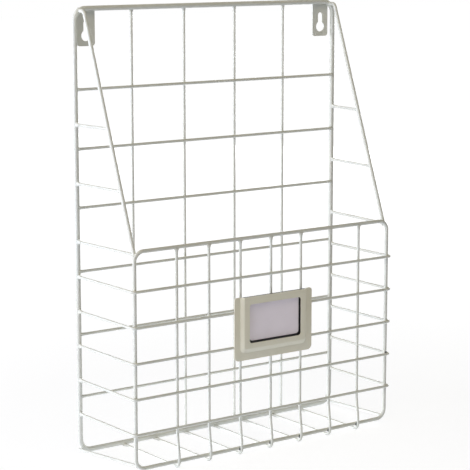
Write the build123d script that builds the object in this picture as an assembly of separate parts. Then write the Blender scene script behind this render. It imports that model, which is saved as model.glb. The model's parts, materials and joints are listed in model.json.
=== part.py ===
from build123d import *
import os
from math import cos, radians, sqrt

# Wall letter rack of welded, powder-coated steel wire, with a stamped label holder in front.
# X runs across the rack, +Y points at the wall and Z is up. The origin is the middle of the
# footprint, on the surface that the rack can stand on. Lengths are in millimetres.

# Wire gauges
FRAME_D = 5.0
BRACE_D = 3.8
WIRE_D = 2.8
# A butted end reaches this far into the round of the bar that it is welded to
SEAT = 1.0

# Back panel, on wire centres: a bent frame with a mesh of uprights and rows inside it
BACK_W = 318.0
BACK_H = 435.0
BACK_BEND = 12.0
UPRIGHTS = 4
UPRIGHT_MARGIN = 65.5
UPPER_ROWS = 3
LOWER_ROWS = 3
ROW_TOP_GAP = 77.0
ROW_MOUTH_GAP = 30.1
ROW_LOW_GAP = 55.5

# Pocket, on wire centres: a bent front frame, columns that hook under it, and hoops round it
POCKET_D = 95.0
FRONT_H = 210.0
FRONT_BEND = 10.0
COLUMNS = 7
COLUMN_MARGIN_LEFT = 47.5
COLUMN_MARGIN_RIGHT = 38.5
HOOPS = 5
TOP_HOOP_GAP = 37.5
HOOK_BEND = 5.4
BASE_DROP = 2.0
JOG_MARGIN = 6.0
JOG_BEND = 15.0

# Sides: a brace from each top corner of the back down to the front, and rungs behind it
BRACE_INSET = 1.9
BRACE_STANDOFF = 9.4
BRACE_BEND = 5.0
BRACE_BITE = 1.2
RUNGS = 3
RUNG_PITCH = 57.0
RUNG_DROP = 3.0

# Keyhole hangers, welded behind the top corners
HANGER_W = 20.0
HANGER_H = 37.0
HANGER_T = 1.2
HANGER_CORNER = 3.0
HANGER_INSET = 14.5
HANGER_RISE = 1.0
KEYHOLE_D = 10.5
KEYHOLE_SLOT = 5.5
KEYHOLE_RISE = 12.0
KEYHOLE_DROP = 26.0

# Label holder: a flanged pan pressed out of sheet, open at the top, with a window in its face
SHEET = 0.8
LABEL_W = 96.0
LABEL_H = 63.4
LABEL_LIFT = 0.7
LABEL_TOP_CORNER = 3.0
LABEL_LOW_CORNER = 5.0
LABEL_RISE = 4.0
LABEL_FLANGE = 6.2
LABEL_SLOPE = 3.6
LABEL_LOW_SLOPE = 5.6
PAN_CORNER = 6.0
PAN_ROUND = 1.5
WINDOW_SIDE = 6.2
WINDOW_TOP = 7.5
WINDOW_BOTTOM = 5.2
WINDOW_CORNER = 3.0

# Insert that slides into the holder from above: a stiff board with a label on its face
BOARD_T = 0.6
PAPER_T = 0.25
PAPER_LEFT = 2.2
PAPER_RIGHT = 1.1
PAPER_LOW = 1.8
PAPER_OVER = 0.8
INSERT_GAP = 0.3
INSERT_DIP = 0.2

# Radii, and the planes and heights that everything is placed from
FRAME_R = FRAME_D / 2
BRACE_R = BRACE_D / 2
WIRE_R = WIRE_D / 2
FRONT_LAYERS = BRACE_R + WIRE_D + LABEL_RISE
BACK_Y = (POCKET_D + FRONT_LAYERS - FRAME_R - HANGER_T) / 2
FRONT_Y = BACK_Y - POCKET_D
HOOP_Y = FRONT_Y - BRACE_R - WIRE_R
COLUMN_Y = HOOP_Y + WIRE_D
LABEL_Y = HOOP_Y - WIRE_R
SIDE_X = BACK_W / 2
FRONT_X = SIDE_X - BRACE_R - WIRE_R
BRACE_X = FRONT_X - BRACE_INSET
BASE_Z = WIRE_R
BACK_Z = BASE_Z + BASE_DROP
TOP_Z = BACK_Z + BACK_H
FRONT_Z = BASE_Z + HOOK_BEND
FRONT_TOP_Z = FRONT_Z + FRONT_H
HOOP_PITCH = (FRONT_H - TOP_HOOP_GAP) / HOOPS
SIDES = {"left": -1, "right": 1}
DIAGONAL = cos(radians(45))


def spread(start, end, count):
    """Evenly spaced places from start to end, both included."""
    return [start + (end - start) * i / (count - 1) for i in range(count)]


def bar(points, diameter, bends=()):
    """Round wire along straight runs, bent to the given radii where they meet."""
    path = FilletPolyline(*points, radius=bends) if bends else Line(*points)
    return sweep(Plane(origin=path @ 0, z_dir=path % 0) * Circle(diameter / 2), path=path)


def ring(half_width, y, low, high, bend, diameter):
    """Wire bent into a closed upright rectangle with round corners."""
    corners = [(-half_width, y, low), (half_width, y, low), (half_width, y, high), (-half_width, y, high)]
    path = FilletPolyline(*corners, radius=bend, close=True)
    return sweep(Plane(origin=path @ 0, z_dir=path % 0) * Circle(diameter / 2), path=path)


def low_corner(half_width, low, bend, standoff):
    """Place beside a ring's lower corner, half way round it: standoff is measured outwards."""
    outward = (bend + standoff) * DIAGONAL - bend
    return half_width + outward, low - outward


def corner_height(half_width, high, bend):
    """Height of a ring's upper corner where the brace's plane crosses it."""
    run = BRACE_X - (half_width - bend)
    return high - bend + sqrt(bend**2 - run**2)


def keyhole(x, z):
    """Keyhole outline seen from the front: a round entry with a narrower slot above it."""
    entry = Pos(x, z) * Circle(KEYHOLE_D / 2)
    slot = Pos(x, z + KEYHOLE_RISE / 2) * Rectangle(KEYHOLE_SLOT, KEYHOLE_RISE)
    return entry + slot + Pos(x, z + KEYHOLE_RISE) * Circle(KEYHOLE_SLOT / 2)


nodes = {}

# Back frame and its mesh: the rows lie in front of the uprights and touch them
back_frame = ring(SIDE_X, BACK_Y, BACK_Z, TOP_Z, BACK_BEND, FRAME_D)
nodes["back_frame"] = back_frame

upright_y = BACK_Y + WIRE_R
upright_ends = (BACK_Z + FRAME_R - SEAT, TOP_Z - FRAME_R + SEAT)
for i, x in enumerate(spread(UPRIGHT_MARGIN - SIDE_X, SIDE_X - UPRIGHT_MARGIN, UPRIGHTS)):
    upright = bar([(x, upright_y, z) for z in upright_ends], WIRE_D)
    nodes[f"back_upright_{i + 1}"] = upright - back_frame

row_y = BACK_Y - WIRE_R
row_end = SIDE_X - FRAME_R + SEAT
mouth_row_z = FRONT_TOP_Z + ROW_MOUTH_GAP
upper_rows = spread(TOP_Z - ROW_TOP_GAP, mouth_row_z, UPPER_ROWS)
lower_rows = spread(mouth_row_z, BACK_Z + ROW_LOW_GAP, LOWER_ROWS + 1)
for i, z in enumerate(upper_rows + lower_rows[1:]):
    row = bar([(-row_end, row_y, z), (row_end, row_y, z)], WIRE_D)
    nodes[f"back_row_{i + 1}"] = row - back_frame

# Front frame, and the columns that stand in it, step out over its lower rail and run back under it
front_frame = ring(FRONT_X, FRONT_Y, FRONT_Z, FRONT_TOP_Z, FRONT_BEND, BRACE_D)
nodes["front_frame"] = front_frame

jog_high = FRONT_Z + HOOP_PITCH - JOG_MARGIN
jog_low = FRONT_Z + JOG_MARGIN
columns_x = spread(COLUMN_MARGIN_LEFT - FRONT_X, FRONT_X - COLUMN_MARGIN_RIGHT, COLUMNS)
for i, x in enumerate(columns_x):
    column = bar(
        [
            (x, COLUMN_Y, FRONT_TOP_Z - BRACE_R + SEAT),
            (x, COLUMN_Y, jog_high),
            (x, HOOP_Y, jog_low),
            (x, HOOP_Y, BASE_Z),
            (x, BACK_Y - FRAME_R + SEAT, BASE_Z),
        ],
        WIRE_D,
        [JOG_BEND, JOG_BEND, HOOK_BEND],
    )
    nodes[f"front_column_{i + 1}"] = column - front_frame - back_frame

# Hoops wrap the front frame's uprights and butt against the back frame's, lowest first
hoops_z = [FRONT_Z + HOOP_PITCH * (i + 1) for i in range(HOOPS)]
hoop_end = BACK_Y - FRAME_R + SEAT
for i, z in enumerate(hoops_z):
    hoop = bar(
        [(-SIDE_X, hoop_end, z), (-SIDE_X, HOOP_Y, z), (SIDE_X, HOOP_Y, z), (SIDE_X, hoop_end, z)],
        WIRE_D,
        [BRACE_R + WIRE_R, BRACE_R + WIRE_R],
    )
    nodes[f"pocket_hoop_{i + 1}"] = hoop - back_frame

# Braces leave the round of the back frame's top corners, turn down and meet the front uprights
brace_top_y = BACK_Y - BRACE_STANDOFF
brace_top_z = corner_height(SIDE_X, TOP_Z, BACK_BEND)
brace_end_y = FRONT_Y + BRACE_D - BRACE_BITE
brace_end_z = corner_height(FRONT_X, FRONT_TOP_Z, FRONT_BEND)
rungs_z = [FRONT_TOP_Z - RUNG_DROP + RUNG_PITCH * i for i in range(RUNGS)]


def brace_y(z):
    """Y of a brace's centre line at height z, on its straight run."""
    share = (brace_top_z - z) / (brace_top_z - brace_end_z)
    return brace_top_y + share * (brace_end_y - brace_top_y)


for side, sign in SIDES.items():
    brace = bar(
        [
            (sign * BRACE_X, BACK_Y - FRAME_R + SEAT, brace_top_z),
            (sign * BRACE_X, brace_top_y, brace_top_z),
            (sign * BRACE_X, brace_end_y, brace_end_z),
        ],
        BRACE_D,
        [BRACE_BEND],
    )
    brace = brace - back_frame - front_frame
    nodes[f"brace_{side}"] = brace
    for i, z in enumerate(rungs_z):
        ends = [(sign * SIDE_X, BACK_Y - FRAME_R + SEAT, z), (sign * BRACE_X, brace_y(z) + SEAT, z)]
        nodes[f"side_rung_{side}_{i + 1}"] = bar(ends, WIRE_D) - back_frame - brace

# Base rungs lap under the back frame's lower corners and butt against the front frame's
lap_x, lap_z = low_corner(SIDE_X, BACK_Z, BACK_BEND, FRAME_R + WIRE_R)
fore_x, fore_z = low_corner(FRONT_X, FRONT_Z, FRONT_BEND, 0)
fore_y = FRONT_Y + BRACE_R - SEAT
past_lap = FRAME_R / (BACK_Y - fore_y)
rear_x = lap_x + (lap_x - fore_x) * past_lap
rear_z = lap_z + (lap_z - fore_z) * past_lap
for side, sign in SIDES.items():
    ends = [(sign * rear_x, BACK_Y + FRAME_R, rear_z), (sign * fore_x, fore_y, fore_z)]
    nodes[f"base_rung_{side}"] = bar(ends, WIRE_D) - back_frame - front_frame

# Hangers: flat plates behind the top corners, each with a keyhole for a wall screw
hanger_z = TOP_Z + HANGER_RISE - HANGER_H / 2
for side, sign in SIDES.items():
    hanger_x = sign * (SIDE_X - HANGER_INSET)
    outline = Pos(hanger_x, hanger_z) * RectangleRounded(HANGER_W, HANGER_H, HANGER_CORNER)
    outline -= keyhole(hanger_x, TOP_Z - KEYHOLE_DROP)
    wall_side = Plane(origin=(0, BACK_Y + FRAME_R + HANGER_T, 0), x_dir=(1, 0, 0), z_dir=(0, -1, 0))
    nodes[f"hanger_{side}"] = extrude(wall_side * outline, HANGER_T)

# Label holder on two of the hoops, drawn on the plane where it touches them
label_x = columns_x[COLUMNS // 2]
label_z = (hoops_z[2] + hoops_z[3]) / 2 + LABEL_LIFT
label_plane = Plane(origin=(label_x, LABEL_Y, label_z), x_dir=(1, 0, 0), z_dir=(0, -1, 0))
side_slope = LABEL_SLOPE / LABEL_RISE
low_slope = LABEL_LOW_SLOPE / LABEL_RISE
side_wall = SHEET * sqrt(1 + side_slope**2)
low_wall = SHEET * sqrt(1 + low_slope**2)
pan_w = LABEL_W - 2 * LABEL_FLANGE
pan_low = LABEL_FLANGE - LABEL_H / 2
pan_high = LABEL_H / 2 + LABEL_RISE + PAN_CORNER


def low_vertices(outline):
    """The two lower corners of an outline."""
    return outline.vertices().group_by(Axis.Y)[0]


def pan_section(side_shrink, low_shrink):
    """Outline of the pan with its sides and lower edge drawn in, its top past the holder's edge."""
    width = pan_w - 2 * side_shrink
    height = pan_high - pan_low - low_shrink
    middle = pan_low + low_shrink + height / 2
    return Pos(0, middle) * RectangleRounded(width, height, PAN_CORNER - side_shrink)


def pan(side_shrink, low_shrink, rise, rim):
    """Tapered block of the pan, its foot drawn in all round and its face edged with a round."""
    foot = label_plane * pan_section(side_shrink, low_shrink)
    face = pan_section(side_shrink + rise * side_slope, low_shrink + rise * low_slope)
    face = label_plane.offset(rise) * face
    block = loft([foot.face(), face.face()], ruled=True)
    return fillet(block.faces().sort_by(Axis.Y)[0].edges(), rim)


outline = Rectangle(LABEL_W, LABEL_H)
outline = fillet(low_vertices(outline), LABEL_LOW_CORNER)
outline = fillet(outline.vertices().group_by(Axis.Y)[-1], LABEL_TOP_CORNER)
below_top = extrude(label_plane * Rectangle(LABEL_W, LABEL_H), LABEL_RISE)
shell = extrude(label_plane * outline, SHEET) + (pan(0, 0, LABEL_RISE, PAN_ROUND) & below_top)
window_w = pan_w - 2 * (LABEL_SLOPE + WINDOW_SIDE)
window_low = pan_low + LABEL_LOW_SLOPE + WINDOW_BOTTOM
window_h = LABEL_H / 2 - WINDOW_TOP - window_low
window_mid = window_low + window_h / 2
window = Pos(0, window_mid) * RectangleRounded(window_w, window_h, WINDOW_CORNER)
cavity = pan(side_wall, low_wall, LABEL_RISE - SHEET, PAN_ROUND - SHEET)
nodes["label_holder"] = shell - cavity - extrude(label_plane * window, LABEL_RISE)

# Insert: the board stands just clear of the pan's sloping foot and of the hoops behind it
side_margin = side_wall + (INSERT_GAP + BOARD_T) * side_slope + INSERT_GAP
board_w = pan_w - 2 * side_margin
board_low = pan_low + low_wall + (INSERT_GAP + BOARD_T) * low_slope + INSERT_GAP
board_h = LABEL_H / 2 - INSERT_DIP - board_low
board = Pos(0, board_low + board_h / 2) * Rectangle(board_w, board_h)
board = fillet(low_vertices(board), PAN_CORNER - side_margin)
board_plane = label_plane.offset(INSERT_GAP)
nodes["insert_board"] = extrude(board_plane * board, BOARD_T)
paper_w = window_w - PAPER_LEFT - PAPER_RIGHT
paper_mid = (PAPER_LEFT - PAPER_RIGHT) / 2
paper_low = window_low + PAPER_LOW
paper_h = window_low + window_h + PAPER_OVER - paper_low
paper = Pos(paper_mid, paper_low + paper_h / 2) * RectangleRounded(paper_w, paper_h, WINDOW_CORNER)
nodes["insert_label"] = extrude(board_plane.offset(BOARD_T) * paper, PAPER_T)

os.makedirs("parts", exist_ok=True)
for name, solid in nodes.items():
    export_step(solid, f"parts/{name}.step")
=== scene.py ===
import json
from math import cos, pi, radians, sin

import bmesh
import bpy
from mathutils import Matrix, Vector


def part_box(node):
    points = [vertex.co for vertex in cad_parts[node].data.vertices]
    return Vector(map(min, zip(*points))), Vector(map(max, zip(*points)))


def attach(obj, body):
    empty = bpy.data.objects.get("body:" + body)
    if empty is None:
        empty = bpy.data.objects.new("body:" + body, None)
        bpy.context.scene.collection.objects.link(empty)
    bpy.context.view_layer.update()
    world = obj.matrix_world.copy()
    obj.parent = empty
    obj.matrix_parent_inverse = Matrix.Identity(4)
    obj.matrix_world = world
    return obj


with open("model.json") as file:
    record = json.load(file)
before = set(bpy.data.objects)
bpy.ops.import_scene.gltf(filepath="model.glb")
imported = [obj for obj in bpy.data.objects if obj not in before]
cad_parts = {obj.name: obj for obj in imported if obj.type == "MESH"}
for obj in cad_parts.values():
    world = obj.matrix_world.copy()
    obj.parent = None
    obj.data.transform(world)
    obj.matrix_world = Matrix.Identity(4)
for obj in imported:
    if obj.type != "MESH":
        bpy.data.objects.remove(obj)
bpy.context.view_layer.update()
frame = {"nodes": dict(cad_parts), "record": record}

MM = 0.001

# Camera: where the photograph was taken from, seen round the middle of the rack
PHOTO_SIZE = 470
VIEW_YAW = 36.482
VIEW_PITCH = 9.717
VIEW_FOCUS = 1757.358
VIEW_DISTANCE = 1759.112 * MM
VIEW_ASIDE = 4.666 * MM
VIEW_BELOW = -9.139 * MM
VIEW_CENTRE = Vector((0.0, 0.0, 220.4 * MM))
SENSOR = 36.0

# Wires in each family of the rack
COLUMNS = 7
HOOPS = 5
UPRIGHTS = 4
ROWS = 6
RUNGS = 3
SIDES = {"left": -1, "right": 1}

# Finishes are linear colours. A layer is a noise, as scale, detail and roughness, and the span
# of it that counts. A bump is its strength and depth.
WHITE = (1, 1, 1)

# Powder coat
COAT_COLOUR = (0.695, 0.692, 0.612)
COAT_WARM = (0.680, 0.662, 0.566)
HOLDER_COLOUR = (0.795, 0.748, 0.586)
HOLDER_WARM = (0.770, 0.712, 0.536)
COAT_DRIFT = ((14.0, 3.0, 0.5), (0.35, 0.68))
COAT_GRIME = ((55.0, 5.0, 0.65), (0.56, 0.80))
GRIME_SHADE = 0.86
GRIME_SHARE = 0.35
COAT_FLECK = ((1500.0, 2.0, 0.5), (0.62, 0.80))
FLECK_SHADE = 0.72
FLECK_SHARE = 0.10
COAT_PEEL = (620.0, 3.0, 0.55)
FINE_PEEL = (1900.0, 2.0, 0.5)
FINE_PEEL_SHARE = 0.35
PEEL_STRENGTH = 0.30
FRAME_PEEL = 0.030 * MM
MESH_PEEL = 0.025 * MM
SHEET_PEEL = 0.035 * MM
COAT_ROUGH = 0.42
DRIFT_ROUGH = 0.10
GRIME_ROUGH = 0.16
GLAZE = 0.18
GLAZE_ROUGH = 0.22

# Insert's black board: a near-black sheet behind the label that paints the shade of the holder's
# recess
SHADE_BOARD_COLOUR = (0.008, 0.008, 0.009)
BOARD_FIBRE = ((420.0, 6.0, 0.7), (0.42, 0.75))
BOARD_FIBRE_SHADE = 2.2
BOARD_ROUGH = 0.62
BOARD_FIBRE_ROUGH = 0.15
BOARD_BUMP = (0.25, 0.05 * MM)

# Insert's label
PAPER_COLOUR = (0.972, 0.878, 0.900)
PAPER_CLOUD = ((38.0, 3.0, 0.5), (0.30, 0.72))
CLOUD_SHADE = 0.93
PAPER_FIBRE = ((700.0, 5.0, 0.7), (0.55, 0.80))
PAPER_FIBRE_SHADE = 0.75
PAPER_FIBRE_SHARE = 0.12
PAPER_TOOTH = (2600.0, 3.0, 0.6)
PAPER_ROUGH = 0.46
CLOUD_ROUGH = 0.12
PAPER_BUMP = (0.12, 0.03 * MM)

# Painted shade spots: near-black, mottled, half-metal finish that paints the shade in deep gaps
# between wires
SHADE_SPOT_COLOUR = (0.018, 0.020, 0.022)
SHADE_SPOT_MOTTLE = ((900.0, 4.0, 0.6), (0.35, 0.70))
SHADE_SPOT_MOTTLE_LIFT = 2.5
SHADE_SPOT_METAL = 0.4
SHADE_SPOT_ROUGH = 0.45
SHADE_SPOT_MOTTLE_ROUGH = 0.25
SHADE_SPOT_BUMP = (0.4, 0.05 * MM)

# Weld fillets: how far they run up the wire, and how wide and thick they are at the bar
FILLET_RUN = 4.6 * MM
FILLET_WIDE = 3.0 * MM
ROW_FILLET_WIDE = 1.8 * MM
FILLET_THICK = 1.9 * MM
FILLET_SINK = 1.0 * MM
FILLET_SKIN = 0.03 * MM
FILLET_CURVE = 2.2
FILLET_RINGS = 7
FILLET_SIDES = 20

# Weld nuggets between crossing wires, and the dark nuggets that paint the shade in deep gaps beside
# them
NUGGET_WIDE = 1.5 * MM
NUGGET_THICK = 0.55 * MM
NUGGET_RINGS = 6
NUGGET_SIDES = 12
HOOK_SHADE_WIDE = 2.2 * MM
HOOK_SHADE_DROP = 0.5 * MM
HOOK_SHADE_FIRST = 2
HOOP_SHADE_WIDE = 1.3 * MM
HOOP_SHADE_PLACE = 1


def middle(node):
    """Centre of a CAD node's box."""
    low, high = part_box(node)
    return (low + high) / 2


def numbered(stem, count):
    """Names of a family of CAD nodes."""
    return [f"{stem}_{i + 1}" for i in range(count)]


class Tone:
    """A value in a node tree. Arithmetic on tones adds the Math nodes that work it out."""

    def __init__(self, tree, socket):
        self.tree = tree
        self.socket = socket

    def make(self, kind, settings=None, sockets=None, out=0):
        """Add a node of any kind: its settings first, then the values or links of its sockets."""
        node = self.tree.nodes.new(kind)
        for name, value in (settings or {}).items():
            setattr(node, name, value)
        for key, value in (sockets or {}).items():
            if isinstance(value, Tone):
                self.tree.links.new(value.socket, node.inputs[key])
            else:
                node.inputs[key].default_value = value
        return Tone(self.tree, node.outputs[out])

    def maths(self, operation, first, second):
        return self.make("ShaderNodeMath", {"operation": operation}, {0: first, 1: second})

    def __add__(self, other):
        return self.maths("ADD", self, other)

    def __radd__(self, other):
        return self.maths("ADD", other, self)

    def __sub__(self, other):
        return self.maths("SUBTRACT", self, other)

    def __rsub__(self, other):
        return self.maths("SUBTRACT", other, self)

    def __mul__(self, other):
        return self.maths("MULTIPLY", self, other)

    def __rmul__(self, other):
        return self.maths("MULTIPLY", other, self)

    def noise(self, scale, detail, roughness):
        """Noise over this place, as a value from 0 to 1."""
        sockets = {"Vector": self, "Scale": scale, "Detail": detail, "Roughness": roughness}
        return self.make("ShaderNodeTexNoise", None, sockets)

    def between(self, low, high):
        """This value stretched so that low becomes 0 and high 1, and held there."""
        sockets = {"Value": self, "From Min": low, "From Max": high}
        return self.make("ShaderNodeMapRange", {"clamp": True}, sockets)

    def layer(self, noise, span):
        """Noise over this place, stretched to the span of it that counts."""
        return self.noise(*noise).between(*span)

    def blend(self, first, second):
        """Colour that goes from first to second with this value."""
        sockets = {"Factor": self, 6: first, 7: second}
        return self.make("ShaderNodeMix", {"data_type": "RGBA"}, sockets, 2)

    def bump(self, strength, depth):
        """Normal of a surface with this value as its height."""
        sockets = {"Strength": strength, "Distance": depth, "Height": self}
        return self.make("ShaderNodeBump", None, sockets)


def opaque(colour, level=1.0):
    """A colour for a socket, scaled by level."""
    return (*(level * part for part in colour), 1.0)


def finish_named(name):
    """New material: its node tree's place on the object, and its shader."""
    material = bpy.data.materials.new(name)
    material.use_nodes = True
    tree = material.node_tree
    shader = tree.nodes["Principled BSDF"]
    place = Tone(tree, tree.nodes.new("ShaderNodeTexCoord").outputs["Object"])
    return material, shader, place


def set_inputs(shader, **values):
    """Give a shader its values, and links where a value is a tone."""
    for key, value in values.items():
        socket = shader.inputs[key.replace("_", " ")]
        if isinstance(value, Tone):
            value.tree.links.new(value.socket, socket)
        else:
            socket.default_value = value


def powder_coat(name, colour, warm, peel_depth):
    """Off-white powder coat: drifting tone, fine orange peel and a few duller, dustier patches."""
    material, shader, place = finish_named(name)
    drift = place.layer(*COAT_DRIFT)
    grime = place.layer(*COAT_GRIME)
    fleck = place.layer(*COAT_FLECK)
    tint = drift.blend(opaque(colour), opaque(warm))
    tint = (grime * GRIME_SHARE).blend(tint, opaque(warm, GRIME_SHADE))
    tint = (fleck * FLECK_SHARE).blend(tint, opaque(warm, FLECK_SHADE))
    peel = place.noise(*COAT_PEEL) + FINE_PEEL_SHARE * place.noise(*FINE_PEEL)
    set_inputs(
        shader,
        Base_Color=tint,
        Roughness=COAT_ROUGH + DRIFT_ROUGH * drift + GRIME_ROUGH * grime,
        Normal=peel.bump(PEEL_STRENGTH, peel_depth),
        Coat_Weight=GLAZE,
        Coat_Roughness=GLAZE_ROUGH,
    )
    return material


def shade_board(name):
    """Near-black fibre board that paints the shade of the recess behind the label, a little greyer
    where its fibres catch the light.
    """
    material, shader, place = finish_named(name)
    fibre = place.layer(*BOARD_FIBRE)
    set_inputs(
        shader,
        Base_Color=fibre.blend(opaque(SHADE_BOARD_COLOUR), opaque(SHADE_BOARD_COLOUR, BOARD_FIBRE_SHADE)),
        Roughness=BOARD_ROUGH + BOARD_FIBRE_ROUGH * fibre,
        Normal=fibre.bump(*BOARD_BUMP),
    )
    return material


def label_paper(name):
    """Smooth lilac-grey label, faintly clouded, with the tooth of coated paper."""
    material, shader, place = finish_named(name)
    cloud = place.layer(*PAPER_CLOUD)
    fibre = place.layer(*PAPER_FIBRE)
    tint = cloud.blend(opaque(PAPER_COLOUR), opaque(PAPER_COLOUR, CLOUD_SHADE))
    tint = (fibre * PAPER_FIBRE_SHARE).blend(tint, opaque(PAPER_COLOUR, PAPER_FIBRE_SHADE))
    set_inputs(
        shader,
        Base_Color=tint,
        Roughness=PAPER_ROUGH + CLOUD_ROUGH * cloud,
        Normal=place.noise(*PAPER_TOOTH).bump(*PAPER_BUMP),
    )
    return material


def paint_shade_spot(name):
    """Near-black, mottled, half dull metal that paints the shade in deep gaps between wires."""
    material, shader, place = finish_named(name)
    scale = place.layer(*SHADE_SPOT_MOTTLE)
    set_inputs(
        shader,
        Base_Color=scale.blend(opaque(SHADE_SPOT_COLOUR), opaque(SHADE_SPOT_COLOUR, SHADE_SPOT_MOTTLE_LIFT)),
        Metallic=SHADE_SPOT_METAL,
        Roughness=SHADE_SPOT_ROUGH + SHADE_SPOT_MOTTLE_ROUGH * scale,
        Normal=scale.bump(*SHADE_SPOT_BUMP),
    )
    return material


frame_coat = powder_coat("frame_powder_coat", COAT_COLOUR, COAT_WARM, FRAME_PEEL)
mesh_coat = powder_coat("mesh_powder_coat", COAT_COLOUR, COAT_WARM, MESH_PEEL)
hanger_coat = powder_coat("hanger_powder_coat", COAT_COLOUR, COAT_WARM, SHEET_PEEL)
holder_coat = powder_coat("holder_powder_coat", HOLDER_COLOUR, HOLDER_WARM, SHEET_PEEL)
# Dark finish that paints the shade in deep gaps between wires
shade_spot_finish = paint_shade_spot("painted_shade_spot_finish")
# Near-black finish that paints the shade of the recess behind the label
shade_board_finish = shade_board("insert_painted_shade_board")
paper_finish = label_paper("insert_label_paper")

finish_of_slot = {
    "frame_wire": frame_coat,
    "mesh_wire": mesh_coat,
    "hanger": hanger_coat,
    "holder": holder_coat,
    "board": shade_board_finish,
    "label": paper_finish,
}
for part in frame["record"]["subparts"]:
    slots = frame["nodes"][part["node"]].data.materials
    slots.clear()
    slots.append(finish_of_slot[part["material_slot"]])

# Radii and places of the bars, read from the frame
back_low, back_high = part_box("back_frame")
front_low, front_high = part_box("front_frame")
frame_r = (back_high.y - back_low.y) / 2
brace_r = (front_high.y - front_low.y) / 2
row_low, row_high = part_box("back_row_1")
wire_r = (row_high.z - row_low.z) / 2
back_y = middle("back_frame").y
front_y = middle("front_frame").y
side_x = back_high.x - frame_r
front_x = front_high.x - brace_r
back_z = back_low.z + frame_r
top_z = back_high.z - frame_r
front_z = front_low.z + brace_r
front_top_z = front_high.z - brace_r
columns = numbered("front_column", COLUMNS)
hoops = numbered("pocket_hoop", HOOPS)
uprights = numbered("back_upright", UPRIGHTS)
rows = numbered("back_row", ROWS)
ACROSS = Vector((1, 0, 0))
INWARD = Vector((0, -1, 0))
UP = Vector((0, 0, 1))


def oval(centre, first, second, first_half, second_half, sides):
    """Points round an oval, whose half widths lie along two directions."""
    turns = [2 * pi * k / sides for k in range(sides)]
    return [centre + first * (first_half * cos(t)) + second * (second_half * sin(t)) for t in turns]


def loft(mesh, rings):
    """Skin a list of rings of points into one closed tube."""
    loops = [[mesh.verts.new(point) for point in ring] for ring in rings]
    sides = len(loops[0])
    for low, high in zip(loops, loops[1:]):
        for i in range(sides):
            j = (i + 1) % sides
            mesh.faces.new((low[i], low[j], high[j], high[i]))
    mesh.faces.new(loops[0][::-1])
    mesh.faces.new(loops[-1])


def weld_fillet(mesh, foot, along, wide, reach=FILLET_WIDE, thick=FILLET_THICK):
    """Flared weld where a wire's end meets a bar: foot is on the bar, along leads up the wire."""
    along = along.normalized()
    through = along.cross(wide).normalized()
    wide = through.cross(along)
    skin = wire_r + FILLET_SKIN
    rings = []
    for i in range(FILLET_RINGS):
        share = i / (FILLET_RINGS - 1)
        flare = (1 - share) ** FILLET_CURVE
        half_wide = skin + (reach - skin) * flare
        half_thick = skin + (thick - skin) * flare
        centre = foot + along * (share * (FILLET_RUN + FILLET_SINK) - FILLET_SINK)
        rings.append(oval(centre, wide, through, half_wide, half_thick, FILLET_SIDES))
    loft(mesh, rings)


def weld_nugget(mesh, centre, through, wide=NUGGET_WIDE):
    """Small squeezed bead between two wires that cross: through points from one to the other."""
    through = through.normalized()
    first = through.orthogonal().normalized()
    second = through.cross(first)
    rings = []
    for i in range(NUGGET_RINGS):
        angle = pi * (i + 0.5) / NUGGET_RINGS
        reach = wide * sin(angle)
        lift = -NUGGET_THICK * cos(angle)
        rings.append(oval(centre + through * lift, first, second, reach, reach, NUGGET_SIDES))
    loft(mesh, rings)


def rack_piece(name, mesh, material):
    """Turn a built mesh into a smooth piece that rides on the rack."""
    bmesh.ops.recalc_face_normals(mesh, faces=mesh.faces)
    data = bpy.data.meshes.new(name)
    mesh.to_mesh(data)
    mesh.free()
    for face in data.polygons:
        face.use_smooth = True
    data.materials.append(material)
    piece = bpy.data.objects.new(name, data)
    bpy.context.scene.collection.objects.link(piece)
    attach(piece, "rack")


# Welds of the back mesh: fillets at the ends, nuggets where rows cross uprights
back_fillets = bmesh.new()
back_nuggets = bmesh.new()
for upright in uprights:
    x, y = middle(upright).x, middle(upright).y
    weld_fillet(back_fillets, Vector((x, y, top_z - frame_r)), -UP, ACROSS)
    weld_fillet(back_fillets, Vector((x, y, back_z + frame_r)), UP, ACROSS)
    for row in rows:
        weld_nugget(back_nuggets, Vector((x, back_y, middle(row).z)), INWARD)
for row in rows:
    y, z = middle(row).y, middle(row).z
    for sign in SIDES.values():
        foot = Vector((sign * (side_x - frame_r), y, z))
        weld_fillet(back_fillets, foot, -sign * ACROSS, UP, ROW_FILLET_WIDE)
rack_piece("back_weld_fillets", back_fillets, mesh_coat)
rack_piece("back_weld_nuggets", back_nuggets, mesh_coat)

# Welds of the pocket: column tops and tails, hoop ends, and nuggets where columns and the front
# frame cross hoops
pocket_fillets = bmesh.new()
pocket_nuggets = bmesh.new()
hoop_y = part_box(hoops[0])[0].y + wire_r
column_y = hoop_y + 2 * wire_r
base_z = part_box(columns[0])[0].z + wire_r
for column in columns:
    x = middle(column).x
    weld_fillet(pocket_fillets, Vector((x, column_y, front_top_z - brace_r)), -UP, ACROSS)
    tail = Vector((x, back_y - frame_r, base_z + FILLET_SKIN))
    weld_fillet(pocket_fillets, tail, INWARD, ACROSS, thick=wire_r)
    weld_nugget(pocket_nuggets, Vector((x, hoop_y + wire_r, front_z)), INWARD)
    for hoop in hoops:
        weld_nugget(pocket_nuggets, Vector((x, hoop_y + wire_r, middle(hoop).z)), INWARD)
for hoop in hoops:
    z = middle(hoop).z
    for sign in SIDES.values():
        weld_fillet(pocket_fillets, Vector((sign * side_x, back_y - frame_r, z)), INWARD, UP)
        outward = Vector((sign, -1, 0)).normalized()
        weld_nugget(pocket_nuggets, Vector((sign * front_x, front_y, z)) + outward * brace_r, outward)
rack_piece("pocket_weld_fillets", pocket_fillets, mesh_coat)
rack_piece("pocket_weld_nuggets", pocket_nuggets, mesh_coat)

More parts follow.
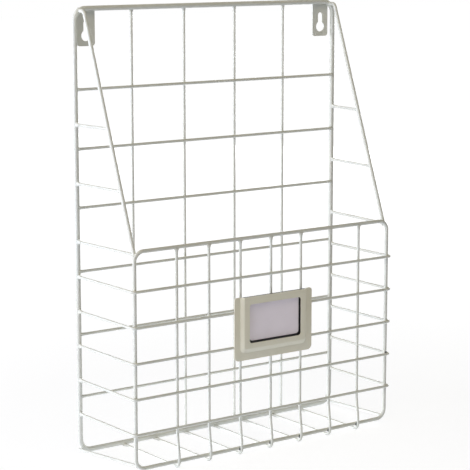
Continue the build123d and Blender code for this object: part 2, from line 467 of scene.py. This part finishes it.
# Dark nuggets that paint the shade in the gaps beside the hooks, where the columns cross the front
# frame's lower rail, and one over the second hoop, where it crosses the front frame's right upright
shade_spots = bmesh.new()
for column in columns[HOOK_SHADE_FIRST:]:
    place = Vector((middle(column).x, hoop_y + wire_r, front_z - HOOK_SHADE_DROP))
    weld_nugget(shade_spots, place, INWARD, HOOK_SHADE_WIDE)
place = Vector((front_x, front_y - brace_r, middle(hoops[HOOP_SHADE_PLACE]).z + wire_r))
weld_nugget(shade_spots, place, INWARD, HOOP_SHADE_WIDE)
rack_piece("painted_shade_spots", shade_spots, shade_spot_finish)

# Welds of the sides: both ends of each rung, and the front ends of the base rungs
side_fillets = bmesh.new()
for side, sign in SIDES.items():
    for rung in numbered(f"side_rung_{side}", RUNGS):
        z = middle(rung).z
        rear = Vector((sign * side_x, back_y - frame_r, z))
        fore = Vector((middle(f"brace_{side}").x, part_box(rung)[0].y, z))
        weld_fillet(side_fillets, rear, fore - rear, UP)
        weld_fillet(side_fillets, fore, rear - fore, UP)
    rung_low, rung_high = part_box(f"base_rung_{side}")
    inner_x, outer_x = sorted((abs(rung_low.x), abs(rung_high.x)))
    fore = Vector((sign * (inner_x + wire_r), rung_low.y, rung_high.z - wire_r))
    rear = Vector((sign * (outer_x - wire_r), rung_high.y, rung_low.z + wire_r))
    weld_fillet(side_fillets, fore, rear - fore, ACROSS)
rack_piece("side_weld_fillets", side_fillets, mesh_coat)

# Floor, backdrop and light: the floor glows a little less round the rack than far from it
FLOOR_SIZE = 16.0
FLOOR_COLOUR = (0.83, 0.87, 0.96)
FLOOR_ROUGH = 0.9
FLOOR_NEAR = 0.30
FLOOR_FAR = 1.30
NEAR_GLOW = (0.85, 0.85, 0.85)
FLOOR_SHADE = (0.28, 0.28, 0.28)
AMBIENT_COLOUR = (1.0, 0.98, 0.94)
AMBIENT = 0.066
CARD_HEIGHT = 0.4 * MM


def sees_backdrop(tree):
    """1 for rays from the camera, and for those mirrored or passed on to it."""
    path = tree.nodes.new("ShaderNodeLightPath")
    rays = ("Is Camera Ray", "Is Glossy Ray", "Is Transmission Ray")
    camera, glossy, passed = (Tone(tree, path.outputs[name]) for name in rays)
    return (camera + glossy + passed).between(0.0, 1.0)


def light_world():
    """White behind the rack, and an even, slightly warm light on it."""
    world = bpy.data.worlds.new("studio")
    bpy.context.scene.world = world
    world.use_nodes = True
    tree = world.node_tree
    seen = sees_backdrop(tree)
    glow = {"Color": opaque(AMBIENT_COLOUR), "Strength": AMBIENT}
    ambient = seen.make("ShaderNodeBackground", None, glow)
    white = seen.make("ShaderNodeBackground", None, {"Color": opaque(WHITE), "Strength": 1.0})
    mixed = seen.make("ShaderNodeMixShader", None, {0: seen, 1: ambient, 2: white})
    tree.links.new(mixed.socket, tree.nodes["World Output"].inputs["Surface"])


def lay_floor():
    """Pale floor that the camera sees as white, apart from the rack's soft shadow."""
    mesh = bpy.data.meshes.new("floor")
    half = FLOOR_SIZE / 2
    corners = [(-half, -half, 0), (half, -half, 0), (half, half, 0), (-half, half, 0)]
    mesh.from_pydata(corners, [], [(0, 1, 2, 3)])
    floor = bpy.data.objects.new("floor", mesh)
    bpy.context.scene.collection.objects.link(floor)
    material, shader, place = finish_named("floor_paper")
    tree = material.node_tree
    set_inputs(shader, Base_Color=opaque(FLOOR_COLOUR), Roughness=FLOOR_ROUGH)
    seen = sees_backdrop(tree)
    away = place.make("ShaderNodeVectorMath", {"operation": "LENGTH"}, {0: place}, "Value")
    brighter = away.between(FLOOR_NEAR, FLOOR_FAR).blend(opaque(NEAR_GLOW), opaque(WHITE))
    glow = seen.make("ShaderNodeEmission", None, {"Color": brighter, "Strength": 1.0})
    shade = seen.make("ShaderNodeBsdfDiffuse", None, {"Color": opaque(FLOOR_SHADE)})
    white = seen.make("ShaderNodeAddShader", None, {0: glow, 1: shade})
    lit = Tone(tree, shader.outputs[0])
    mixed = seen.make("ShaderNodeMixShader", None, {0: seen, 1: lit, 2: white})
    tree.links.new(mixed.socket, tree.nodes["Material Output"].inputs["Surface"])
    mesh.materials.append(material)


def soft_light(name, place, aim, size, watts, colour):
    """Soft box at place, turned to aim; size is its width and height."""
    lamp = bpy.data.lights.new(name, "AREA")
    lamp.shape = "RECTANGLE"
    lamp.size, lamp.size_y = size
    lamp.energy = watts
    lamp.color = colour
    stand = bpy.data.objects.new(name, lamp)
    stand.location = place
    stand.rotation_mode = "QUATERNION"
    stand.rotation_quaternion = (Vector(aim) - Vector(place)).to_track_quat("-Z", "Y")
    bpy.context.scene.collection.objects.link(stand)


light_world()
lay_floor()
soft_light(
    "side_window",
    place=(-3.00, 0.42, 0.75),
    aim=(0, 0, 0.22),
    size=(3.6, 2.0),
    watts=117.0,
    colour=(0.80, 0.84, 1.0),
)
soft_light(
    "rear_window",
    place=(-2.30, 1.90, 0.50),
    aim=(0, 0, 0.20),
    size=(2.0, 1.0),
    watts=27.0,
    colour=(0.86, 0.91, 1.0),
)
soft_light(
    "far_fill",
    place=(1.90, 1.60, 0.24),
    aim=(0, 0, 0.20),
    size=(1.4, 0.4),
    watts=17.0,
    colour=(0.96, 0.97, 1.0),
)
soft_light(
    "top_fill",
    place=(-0.25, -0.70, 1.50),
    aim=(0, 0, 0.38),
    size=(0.9, 0.9),
    watts=5.7,
    colour=(1.0, 0.90, 0.64),
)
soft_light(
    "floor_card",
    place=(-0.30, -0.10, CARD_HEIGHT),
    aim=(-0.30, -0.10, 1.0),
    size=(1.5, 0.7),
    watts=1.4,
    colour=(0.79, 0.86, 1.0),
)
soft_light(
    "pocket_card",
    place=(0, -0.002, CARD_HEIGHT),
    aim=(0, -0.002, 1.0),
    size=(0.30, 0.080),
    watts=0.10,
    colour=(0.80, 0.87, 1.0),
)


def place_camera():
    """Camera at the photograph's viewing angle, turned only by yaw and pitch."""
    yaw, pitch = radians(VIEW_YAW), radians(VIEW_PITCH)
    ahead = Vector((sin(yaw) * cos(pitch), cos(yaw) * cos(pitch), -sin(pitch)))
    aside = Vector((cos(yaw), -sin(yaw), 0))
    below = ahead.cross(aside)
    lens = bpy.data.cameras.new("photo_camera")
    lens.sensor_width = SENSOR
    lens.lens = VIEW_FOCUS * SENSOR / PHOTO_SIZE
    camera = bpy.data.objects.new("photo_camera", lens)
    offset = ahead * VIEW_DISTANCE + aside * VIEW_ASIDE + below * VIEW_BELOW
    camera.location = VIEW_CENTRE - offset
    camera.rotation_mode = "QUATERNION"
    camera.rotation_quaternion = ahead.to_track_quat("-Z", "Y")
    bpy.context.scene.collection.objects.link(camera)
    bpy.context.scene.camera = camera


place_camera()
bpy.context.scene.view_settings.view_transform = "Standard"
